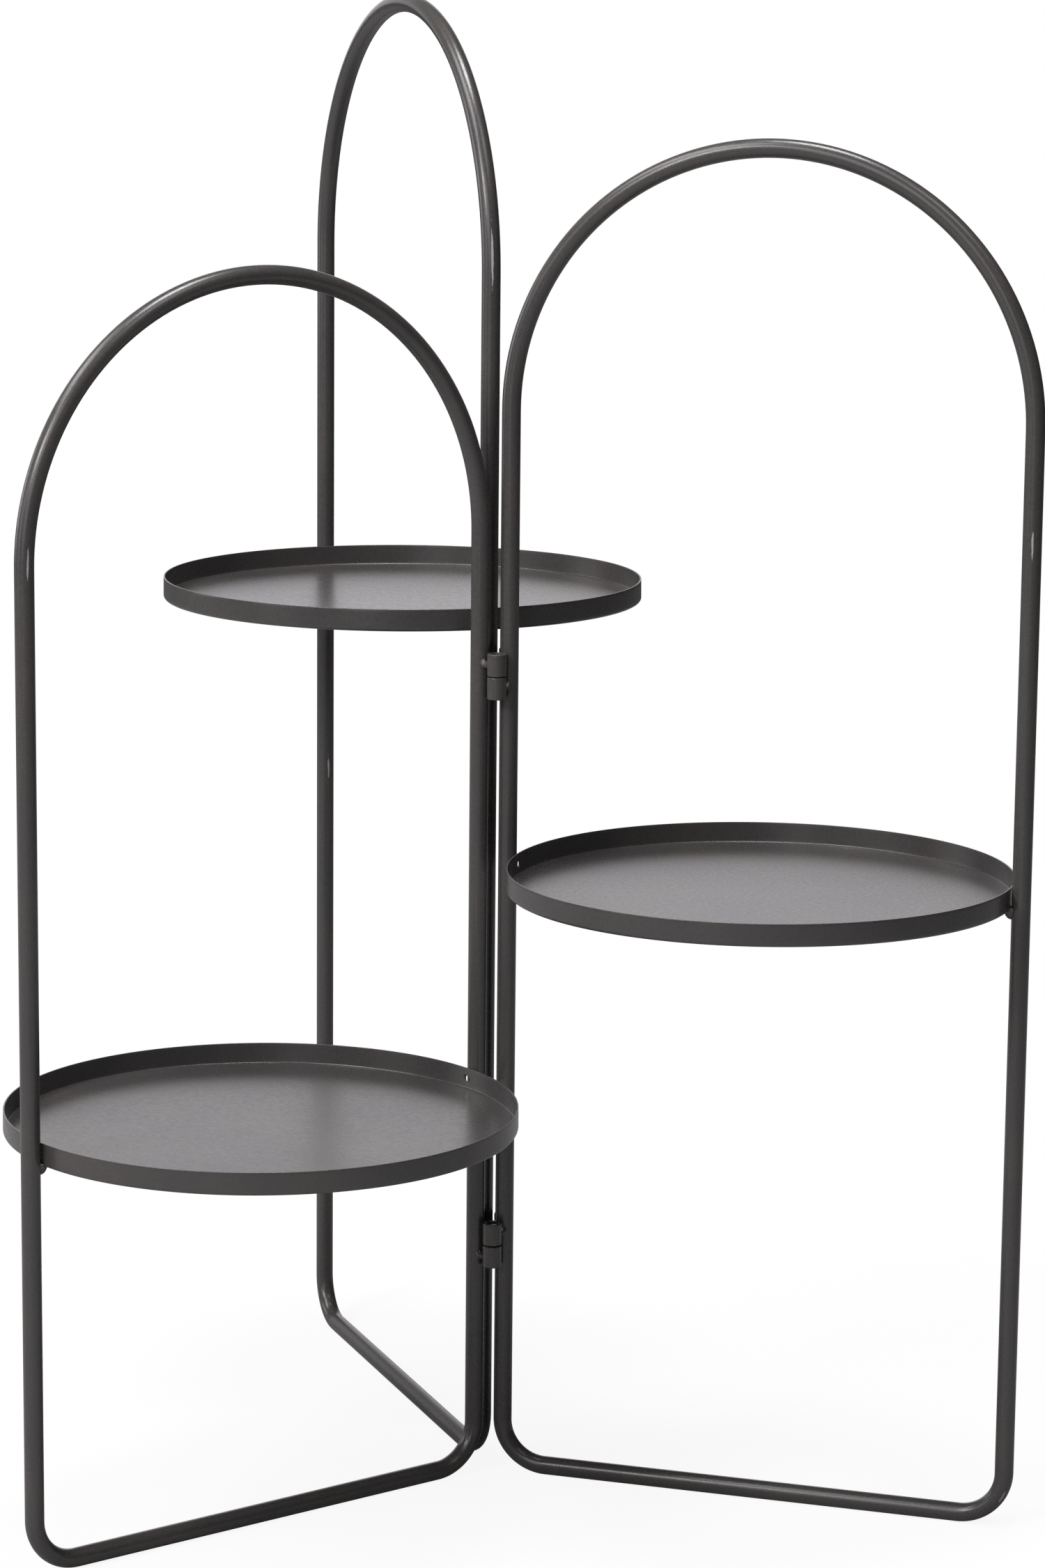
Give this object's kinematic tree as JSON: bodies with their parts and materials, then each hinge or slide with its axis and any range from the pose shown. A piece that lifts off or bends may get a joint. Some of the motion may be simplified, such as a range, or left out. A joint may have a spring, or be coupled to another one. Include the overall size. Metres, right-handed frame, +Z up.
{
  "type": "tiered plant stand",
  "caption": "Folding plant stand of arched steel tube frames in stepped heights, hinged along one upright corner, each carrying a round rimmed tray.",
  "frame": {"origin": "on the floor, straight under the axis of the right frame's hinge-side leg", "axes": "+X from that leg along the right frame, +Y towards the back frame, +Z up"},
  "size_m": [0.5197, 0.5075, 0.8],
  "materials": {
    "frame_coating": "dark warm grey powder coat on bent steel tube, matt to satin with a fine grain",
    "tray_coating": "the same powder coat on pressed sheet steel",
    "weld_coating": "the same powder coat over weld beads, smooth and a little glossier",
    "knuckle_coating": "the same powder coat on turned hinge knuckles, thin on the edges",
    "pin_coating": "the same powder coat, only on the sunk ends of the steel pins"
  },
  "bodies": {
    "right": {"right_frame": "frame_coating", "right_tray": "tray_coating", "right_tray_welds": "weld_coating", "left_upper_hinge_bottom_knuckle": "knuckle_coating", "left_upper_hinge_pin": "pin_coating", "left_lower_hinge_top_knuckle": "knuckle_coating", "back_upper_hinge_bottom_knuckle": "knuckle_coating", "back_upper_hinge_pin": "pin_coating", "back_lower_hinge_top_knuckle": "knuckle_coating", "right_hinge_welds": "weld_coating"},
    "left": {"left_frame": "frame_coating", "left_tray": "tray_coating", "left_tray_welds": "weld_coating", "left_upper_hinge_top_knuckle": "knuckle_coating", "left_lower_hinge_bottom_knuckle": "knuckle_coating", "left_lower_hinge_pin": "pin_coating", "left_hinge_welds": "weld_coating"},
    "back": {"back_frame": "frame_coating", "back_tray": "tray_coating", "back_tray_welds": "weld_coating", "back_upper_hinge_top_knuckle": "knuckle_coating", "back_lower_hinge_bottom_knuckle": "knuckle_coating", "back_lower_hinge_pin": "pin_coating", "back_hinge_welds": "weld_coating"}
  },
  "joints": [
    {"name": "left_fold", "type": "hinge", "parent": "right", "child": "left", "pos_m": [-0.0036, -0.01039, 0.2875], "axis": [0, 0, 1], "range_deg": [-10, 125.5]},
    {"name": "back_fold", "type": "hinge", "parent": "right", "child": "back", "pos_m": [-0.0036, 0.01039, 0.2875], "axis": [0, 0, 1], "range_deg": [-128, 10]}
  ]
}
